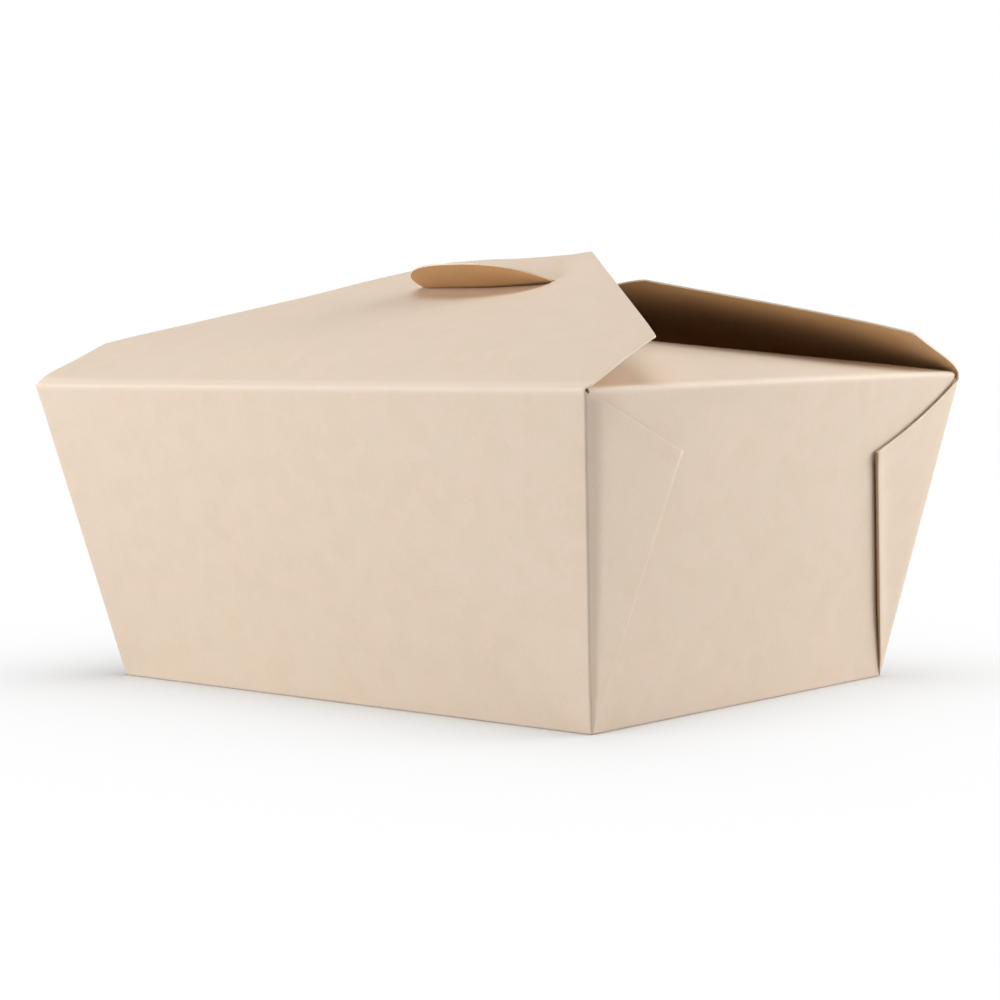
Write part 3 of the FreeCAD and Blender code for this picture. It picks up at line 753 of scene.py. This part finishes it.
def lay_end_flap(bm, across):
    """Top strip of an end wall, its rim crease and the end flap. They lie four half plies deeper than
    the webs' outer layers."""
    edge_y, half_shares = {}, {}
    for side in (-1, 1):
        edge_y[side] = wall_y(STRIP_Z) - web_span(STRIP_Z, (across, side))[2]
        places = [wall_y(STRIP_Z) - end_wall_along(STRIP_Z, share, (across, side))
                  for share in [0] + END_SHARES[:-1]]
        half_shares[side] = [place / edge_y[side] for place in places]
    corner = Vector((wall_x(END_CORNER_Z) - 4 * PLY, END_CORNER_Z))
    foot = Vector((wall_x(STRIP_Z) - 4 * PLY, STRIP_Z))
    inward = Vector((corner.x - 10, corner.y + 10 * END_SLOPE))
    line = [foot] + turn_corner(foot, corner, inward, RIM_CREASE, RIM_STEPS)
    half_width = outline([(0, 87.6), (1.6, 87.0, 2), (END_RUN, 12.7, 6), (END_RUN, 0)])
    runs = rows_of_runs([(2.2, 5.2, 0.75), (5.2, 59, 3), (59, END_RUN, 0.5)])
    shares = [-share for share in half_shares[-1]] + [0.0] + half_shares[1][::-1]

    def give(y, fade):
        return corner_give(wall_y(STRIP_Z) - abs(y), STRIP_Z, (across, 1 if y > 0 else -1)) * fade

    rows = []
    low_row = []
    for side, walls in ((-1, [0] + END_SHARES), (1, END_SHARES[-2::-1] + [0])):
        for share in walls:
            x, y = end_wall_point(STRIP_Z, share, (across, side))
            flat = (across * (FOOT_X + END_APART + STRIP_Z), side * y)
            low_row.append(((across * x, side * y, STRIP_Z), flat, 0.0))
    rows.append(low_row)
    for place in line[1:]:
        row = []
        for share in shares:
            y = share * edge_y[1 if share > 0 else -1]
            x = place.x - give(y, 1.0)
            # Over the rim crease the skin is fully pale: stretched skin with a painted highlight.
            row.append(((across * x, y, place.y), (across * (FOOT_X + END_APART + place.y), y), 1.0))
        rows.append(row)
    for run in runs:
        half = half_width(run)
        row = []
        for share in shares:
            y = share * half
            z = corner.y + END_SLOPE * run + board_ripple(y + 700 * across, run)
            x = corner.x - run - give(y, 1 - ease(1, 9, run)) * 0.9
            flat = (across * (FOOT_X + END_APART + HEIGHT + run), y)
            row.append(((across * x, y, z), flat, crease_paleness(run)))
        rows.append(row)
    lay_grid(bm, rows, across > 0)


# Finishes

def srgb(red, green, blue):
    """A colour given in screen values, as the shader wants it."""
    def linear(value):
        value /= 255
        return value / 12.92 if value <= 0.04045 else ((value + 0.055) / 1.055) ** 2.4
    return (linear(red), linear(green), linear(blue), 1.0)


def node(tree, kind, **settings):
    """A new node with its settings."""
    made = tree.nodes.new(kind)
    for key, value in settings.items():
        setattr(made, key, value)
    return made


def kraft_pulp_group():
    """Mottling, fibres and flecks of kraft board, on the flat sheet. It gives masks and a height."""
    group = bpy.data.node_groups.new("kraft_pulp", "ShaderNodeTree")
    sockets = group.interface
    sockets.new_socket("Flat", in_out="INPUT", socket_type="NodeSocketVector")
    for name, start in (("Fleck Amount", 0.5), ("Fibre Amount", 0.5)):
        socket = sockets.new_socket(name, in_out="INPUT", socket_type="NodeSocketFloat")
        socket.default_value = start
    for name in ("Cloud", "Tint", "Dark", "Light", "Height"):
        sockets.new_socket(name, in_out="OUTPUT", socket_type="NodeSocketFloat")
    put_in = node(group, "NodeGroupInput")
    put_out = node(group, "NodeGroupOutput")
    link = group.links.new

    def noise_at(scale, detail=3.0, stretch=None, rough=0.55):
        source = put_in.outputs["Flat"]
        if stretch:
            mapping = node(group, "ShaderNodeMapping")
            mapping.inputs["Scale"].default_value = stretch
            mapping.inputs["Rotation"].default_value = (0, 0, 0.35 * len(group.nodes))
            link(source, mapping.inputs["Vector"])
            source = mapping.outputs["Vector"]
        texture = node(group, "ShaderNodeTexNoise")
        texture.inputs["Scale"].default_value = scale
        texture.inputs["Detail"].default_value = detail
        texture.inputs["Roughness"].default_value = rough
        link(source, texture.inputs["Vector"])
        return texture.outputs["Fac"]

    def ramp(source, low, high):
        made = node(group, "ShaderNodeMapRange", interpolation_type="SMOOTHSTEP")
        made.inputs["From Min"].default_value = low
        made.inputs["From Max"].default_value = high
        link(source, made.inputs["Value"])
        return made.outputs["Result"]

    def math_node(operation, first, second):
        made = node(group, "ShaderNodeMath", operation=operation)
        for socket, value in zip(made.inputs, (first, second)):
            if isinstance(value, (int, float)):
                socket.default_value = value
            else:
                link(value, socket)
        return made.outputs[0]

    cloud = noise_at(7, 5, rough=0.6)
    tint = noise_at(11, 3)
    fine = noise_at(160, 3, rough=0.7)
    long_fibres = noise_at(60, 2, (1, 7, 1))
    cross_fibres = noise_at(70, 2, (6, 1, 1))
    fleck_field = noise_at(95, 1, (1, 2.2, 1))
    pale_field = noise_at(80, 1, (1, 3.5, 1))
    link(ramp(cloud, 0.3, 0.7), put_out.inputs["Cloud"])
    link(ramp(tint, 0.35, 0.65), put_out.inputs["Tint"])
    fibres = math_node("MAXIMUM", ramp(long_fibres, 0.56, 0.74), ramp(cross_fibres, 0.58, 0.76))
    flecks = math_node("MULTIPLY", ramp(fleck_field, 0.67, 0.73), put_in.outputs["Fleck Amount"])
    weak = math_node("MULTIPLY", fibres, put_in.outputs["Fibre Amount"])
    link(math_node("MAXIMUM", flecks, math_node("MULTIPLY", weak, 0.45)), put_out.inputs["Dark"])
    pale = math_node("MULTIPLY", ramp(pale_field, 0.58, 0.74), put_in.outputs["Fibre Amount"])
    link(pale, put_out.inputs["Light"])
    rough_height = math_node("ADD", math_node("MULTIPLY", fine, 0.5), math_node("MULTIPLY", fibres, 0.35))
    link(math_node("ADD", rough_height, math_node("MULTIPLY", cloud, 0.4)), put_out.inputs["Height"])
    return group


KRAFT_PULP = kraft_pulp_group()

# Depth of the board's fine relief, in metres.
RELIEF_DEPTH = 0.00012


def board_material(name, colour, yellow, pink, dark, pale, creased, crack_and_shade_colour, amounts, bump, rough):
    """Kraft board of one face: its colour, mottling, fibres, and the skin that its mark makes paler,
    stretched skin with a painted highlight, or browner, painted shade and cracked folds. amounts are those
    of flecks and fibres, and rough is the roughness from the least to the most."""
    material = bpy.data.materials.new(name)
    material.use_nodes = True
    tree = material.node_tree
    tree.nodes.clear()
    link = tree.links.new
    flat = node(tree, "ShaderNodeUVMap", uv_map="flat")
    pulp = node(tree, "ShaderNodeGroup", node_tree=KRAFT_PULP)
    pulp.inputs["Fleck Amount"].default_value = amounts[0]
    pulp.inputs["Fibre Amount"].default_value = amounts[1]
    link(flat.outputs["UV"], pulp.inputs["Flat"])

    def mix(first, second, factor, strength=1.0):
        made = node(tree, "ShaderNodeMix", data_type="RGBA")
        scale = node(tree, "ShaderNodeMath", operation="MULTIPLY")
        link(factor, scale.inputs[0])
        scale.inputs[1].default_value = strength
        link(scale.outputs[0], made.inputs[0])
        for socket, value in ((made.inputs[6], first), (made.inputs[7], second)):
            if isinstance(value, tuple):
                socket.default_value = value
            else:
                link(value, socket)
        return made.outputs[2]

    tinted = mix(yellow, pink, pulp.outputs["Tint"])
    clouded = mix(tinted, colour, pulp.outputs["Cloud"], 0.75)
    flecked = mix(clouded, dark, pulp.outputs["Dark"], 0.5)
    fibred = mix(flecked, pale, pulp.outputs["Light"], 0.25)
    # The skin mark: above 0 it pales the skin, stretched skin with a painted highlight; below 0 it browns
    # it, painted shade and cracked folds.
    crease = node(tree, "ShaderNodeAttribute", attribute_name="crease")
    stretch_and_highlight_share = node(tree, "ShaderNodeMath", operation="MAXIMUM")
    link(crease.outputs["Fac"], stretch_and_highlight_share.inputs[0])
    stretch_and_highlight_share.inputs[1].default_value = 0.0
    with_stretch_and_highlight = mix(fibred, creased, stretch_and_highlight_share.outputs[0], 0.55)
    crack_and_shade_share = node(tree, "ShaderNodeMath", operation="MULTIPLY", use_clamp=True)
    link(crease.outputs["Fac"], crack_and_shade_share.inputs[0])
    crack_and_shade_share.inputs[1].default_value = -1.0
    coloured = mix(with_stretch_and_highlight, crack_and_shade_colour, crack_and_shade_share.outputs[0], 0.85)
    roughness = node(tree, "ShaderNodeMapRange")
    roughness.inputs["To Min"].default_value = rough[0]
    roughness.inputs["To Max"].default_value = rough[1]
    link(pulp.outputs["Cloud"], roughness.inputs["Value"])
    relief = node(tree, "ShaderNodeBump")
    relief.inputs["Strength"].default_value = bump
    relief.inputs["Distance"].default_value = RELIEF_DEPTH
    link(pulp.outputs["Height"], relief.inputs["Height"])
    shader = node(tree, "ShaderNodeBsdfPrincipled")
    shader.inputs["Specular IOR Level"].default_value = 0.12
    link(coloured, shader.inputs["Base Color"])
    link(roughness.outputs["Result"], shader.inputs["Roughness"])
    link(relief.outputs["Normal"], shader.inputs["Normal"])
    result = node(tree, "ShaderNodeOutputMaterial")
    link(shader.outputs["BSDF"], result.inputs["Surface"])
    return material


# The last two colours of each board: the pale of stretched skin with a painted highlight, and the brown of
# painted shade and cracked folds.
outside_kraft = board_material(
    "kraft_outside", srgb(227, 211, 192), srgb(226, 207, 185), srgb(230, 209, 191), srgb(188, 160, 128),
    srgb(238, 223, 205), srgb(239, 223, 206), srgb(150, 104, 56), (0.5, 0.4), 0.4, (0.62, 0.78))
inside_kraft = board_material(
    "kraft_inside", srgb(219, 180, 135), srgb(216, 177, 129), srgb(221, 182, 138), srgb(160, 120, 78),
    srgb(228, 194, 150), srgb(200, 158, 110), srgb(104, 72, 42), (0.6, 0.6), 0.5, (0.7, 0.85))
edge_kraft = board_material(
    "kraft_cut_edge", srgb(236, 221, 199), srgb(238, 222, 198), srgb(233, 217, 194), srgb(190, 162, 130),
    srgb(246, 233, 212), srgb(238, 223, 202), srgb(190, 162, 130), (1.0, 1.0), 0.6, (0.8, 0.9))
MATERIALS = [outside_kraft, inside_kraft, edge_kraft]


# The two pieces of the box

def make_carton_board():
    """The base, the walls with their webs, the end flaps and the far flap with its tab."""
    bm = new_sheet()
    for across in (1, -1):
        for side in (-1, 1):
            lay_quarter(bm, across, side)
    for across in (1, -1):
        lay_end_flap(bm, across)
    lay_far_flap(bm)
    bmesh.ops.remove_doubles(bm, verts=bm.verts, dist=ONE_POINT)
    floor_edges = [edge for edge in bm.edges if edge.is_boundary
                   and all(abs(vert.co.z - SKIN * MM) < SAME_HEIGHT for vert in edge.verts)]
    filled = bmesh.ops.edgeloop_fill(bm, edges=floor_edges)
    flat_layer = bm.loops.layers.uv["flat"]
    for face in filled["faces"]:
        if face.normal.z > 0:
            face.normal_flip()
        face.smooth = True
        for loop in face.loops:
            loop[flat_layer].uv = loop.vert.co.xy / (FLAT_UNIT * MM)
    return finish_sheet(bm, "carton_board", MATERIALS)


def make_lid_board():
    """The top strip of the near wall and the lid flap, which turns on the crease between them."""
    bm = new_sheet()
    lay_lid(bm)
    bmesh.ops.remove_doubles(bm, verts=bm.verts, dist=ONE_POINT)
    return finish_sheet(bm, "lid_board", MATERIALS)


carton_board = make_carton_board()
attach(carton_board, "box")
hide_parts("carton")

lid_board = make_lid_board()
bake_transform(lid_board, "box", "lid", start=(0, -0.0897, 0.0934), end=(0, -0.0897, 0.0952))
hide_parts("lid_flap")


# Floor, light and camera

# Lamps: name, direction and height in degrees, watts. All are as large and as far away as the others.
LAMPS = [("left_softbox", -30, 10, 9.8),
         ("right_softbox", 144, 11, 10.6),
         ("right_high_softbox", 140, 35, 3.4),
         ("top_softbox", 30, 75, 5.0),
         ("front_fill", 42, 8, 0.6)]
LAMP_SIZE, LAMP_DISTANCE, LAMP_AIM = 0.8, 1.0, Vector((0, 0, 0.05))
WORLD_LEVEL = 0.02

# How much of the floor's own shading the camera sees: reach in metres from the base, and amount.
SHADOW_REACHES = [(0.033, 0.7), (0.0015, 0.3)]
FLOOR_RADIUS, FLOOR_TONES = 6, (0.69, 0.71)

# Camera: compass direction, height and roll in degrees, distance and aim in millimetres, how far the
# middle of the picture lies right of and above the aim, and focal length in picture widths.
CAMERA_TURN, CAMERA_RISE, CAMERA_ROLL = 42.19, 4.03, -0.87
CAMERA_DISTANCE, CAMERA_AIM, CAMERA_SHIFT = 787, Vector((0, 0, 45)), (1.9, 10.9)
CAMERA_FOCUS, SENSOR_WIDTH = 2.485, 36


def seen_directly(tree):
    """A node that gives 1 for rays that come from the camera, a reflection or a clear thing, else 0."""
    seen = node(tree, "ShaderNodeLightPath")
    rays = node(tree, "ShaderNodeMath", operation="MAXIMUM")
    tree.links.new(seen.outputs["Is Camera Ray"], rays.inputs[0])
    tree.links.new(seen.outputs["Is Glossy Ray"], rays.inputs[1])
    through = node(tree, "ShaderNodeMath", operation="MAXIMUM")
    tree.links.new(rays.outputs[0], through.inputs[0])
    tree.links.new(seen.outputs["Is Transmission Ray"], through.inputs[1])
    return through


def facing(azimuth, elevation):
    """Direction from the box towards a compass direction and height in degrees."""
    turn, rise = math.radians(azimuth), math.radians(elevation)
    return Vector((math.sin(turn) * math.cos(rise), -math.cos(turn) * math.cos(rise), math.sin(rise)))


def make_floor():
    """White floor. The camera sees its shading only close to the base, and plain white elsewhere."""
    bm = bmesh.new()
    bmesh.ops.create_circle(bm, cap_ends=True, radius=FLOOR_RADIUS, segments=96)
    mesh = bpy.data.meshes.new("studio_floor")
    bm.to_mesh(mesh)
    bm.free()
    floor = bpy.data.objects.new("studio_floor", mesh)
    bpy.context.scene.collection.objects.link(floor)
    material = bpy.data.materials.new("white_floor")
    material.use_nodes = True
    tree = material.node_tree
    tree.nodes.clear()
    link = tree.links.new
    grain = node(tree, "ShaderNodeTexNoise")
    grain.inputs["Scale"].default_value = 40
    tone = node(tree, "ShaderNodeMix", data_type="RGBA")
    for socket, value in zip(tone.inputs[6:8], FLOOR_TONES):
        socket.default_value = (value, value, value, 1)
    link(grain.outputs["Fac"], tone.inputs[0])
    paper = node(tree, "ShaderNodeBsdfDiffuse")
    link(tone.outputs[2], paper.inputs["Color"])
    white = node(tree, "ShaderNodeEmission")
    white.inputs["Color"].default_value = (1, 1, 1, 1)
    white.inputs["Strength"].default_value = 1.0
    through = seen_directly(tree)
    place = node(tree, "ShaderNodeTexCoord")
    outward = node(tree, "ShaderNodeVectorMath", operation="ABSOLUTE")
    link(place.outputs["Object"], outward.inputs[0])
    past = node(tree, "ShaderNodeVectorMath", operation="SUBTRACT")
    link(outward.outputs["Vector"], past.inputs[0])
    past.inputs[1].default_value = (FOOT_X * MM, FOOT_Y * MM, 0)
    clear = node(tree, "ShaderNodeVectorMath", operation="MAXIMUM")
    link(past.outputs["Vector"], clear.inputs[0])
    clear.inputs[1].default_value = (0, 0, 0)
    gap = node(tree, "ShaderNodeVectorMath", operation="LENGTH")
    link(clear.outputs["Vector"], gap.inputs[0])
    left_over = None
    for reach, amount in SHADOW_REACHES:
        distance = node(tree, "ShaderNodeMath", operation="MULTIPLY")
        link(gap.outputs["Value"], distance.inputs[0])
        distance.inputs[1].default_value = -1 / reach
        fading = node(tree, "ShaderNodeMath", operation="EXPONENT")
        link(distance.outputs[0], fading.inputs[0])
        part = node(tree, "ShaderNodeMath", operation="MULTIPLY")
        link(fading.outputs[0], part.inputs[0])
        part.inputs[1].default_value = amount
        if left_over is None:
            left_over = part
        else:
            total = node(tree, "ShaderNodeMath", operation="ADD")
            link(left_over.outputs[0], total.inputs[0])
            link(part.outputs[0], total.inputs[1])
            left_over = total
    near_to_far = node(tree, "ShaderNodeMath", operation="SUBTRACT")
    near_to_far.inputs[0].default_value = 1.0
    link(left_over.outputs[0], near_to_far.inputs[1])
    share = node(tree, "ShaderNodeMath", operation="MULTIPLY")
    link(through.outputs[0], share.inputs[0])
    link(near_to_far.outputs[0], share.inputs[1])
    blend = node(tree, "ShaderNodeMixShader")
    link(share.outputs[0], blend.inputs[0])
    link(paper.outputs["BSDF"], blend.inputs[1])
    link(white.outputs["Emission"], blend.inputs[2])
    result = node(tree, "ShaderNodeOutputMaterial")
    link(blend.outputs["Shader"], result.inputs["Surface"])
    mesh.materials.append(material)


def make_lamp(name, azimuth, elevation, power):
    """A soft lamp that faces the box from a compass direction, measured like the camera's."""
    away = facing(azimuth, elevation)
    data = bpy.data.lights.new(name, "AREA")
    data.shape = "RECTANGLE"
    data.size = data.size_y = LAMP_SIZE
    data.energy = power
    lamp = bpy.data.objects.new(name, data)
    lamp.location = away * LAMP_DISTANCE + LAMP_AIM
    lamp.rotation_euler = away.to_track_quat("Z", "Y").to_euler()
    bpy.context.scene.collection.objects.link(lamp)


def make_world():
    """Faint air light on the box, seen as plain white."""
    world = bpy.data.worlds.new("studio_air")
    bpy.context.scene.world = world
    world.use_nodes = True
    tree = world.node_tree
    tree.nodes.clear()
    link = tree.links.new
    through = seen_directly(tree)
    level = node(tree, "ShaderNodeMapRange")
    level.inputs["To Min"].default_value = WORLD_LEVEL
    level.inputs["To Max"].default_value = 1.0
    link(through.outputs[0], level.inputs["Value"])
    air = node(tree, "ShaderNodeBackground")
    air.inputs["Color"].default_value = (1, 1, 1, 1)
    link(level.outputs["Result"], air.inputs["Strength"])
    result = node(tree, "ShaderNodeOutputWorld")
    link(air.outputs["Background"], result.inputs["Surface"])


def make_camera():
    """The photograph's view, found from the six corners of the box that it shows."""
    roll = math.radians(CAMERA_ROLL)
    back = facing(CAMERA_TURN, CAMERA_RISE)
    level = (-back).cross(Vector((0, 0, 1))).normalized()
    upright = level.cross(-back)
    right = level * math.cos(roll) + upright * math.sin(roll)
    up = upright * math.cos(roll) - level * math.sin(roll)
    target = CAMERA_AIM + right * CAMERA_SHIFT[0] + up * CAMERA_SHIFT[1]
    data = bpy.data.cameras.new("photo_camera")
    data.sensor_width = SENSOR_WIDTH
    data.lens = SENSOR_WIDTH * CAMERA_FOCUS
    data.clip_start = 0.01
    camera = bpy.data.objects.new("photo_camera", data)
    camera.location = (target + back * CAMERA_DISTANCE) * MM
    camera.rotation_euler = Matrix((right, up, back)).transposed().to_euler()
    bpy.context.scene.collection.objects.link(camera)
    bpy.context.scene.camera = camera


make_floor()
make_world()
for lamp in LAMPS:
    make_lamp(*lamp)
make_camera()
bpy.context.scene.view_settings.view_transform = "Standard"
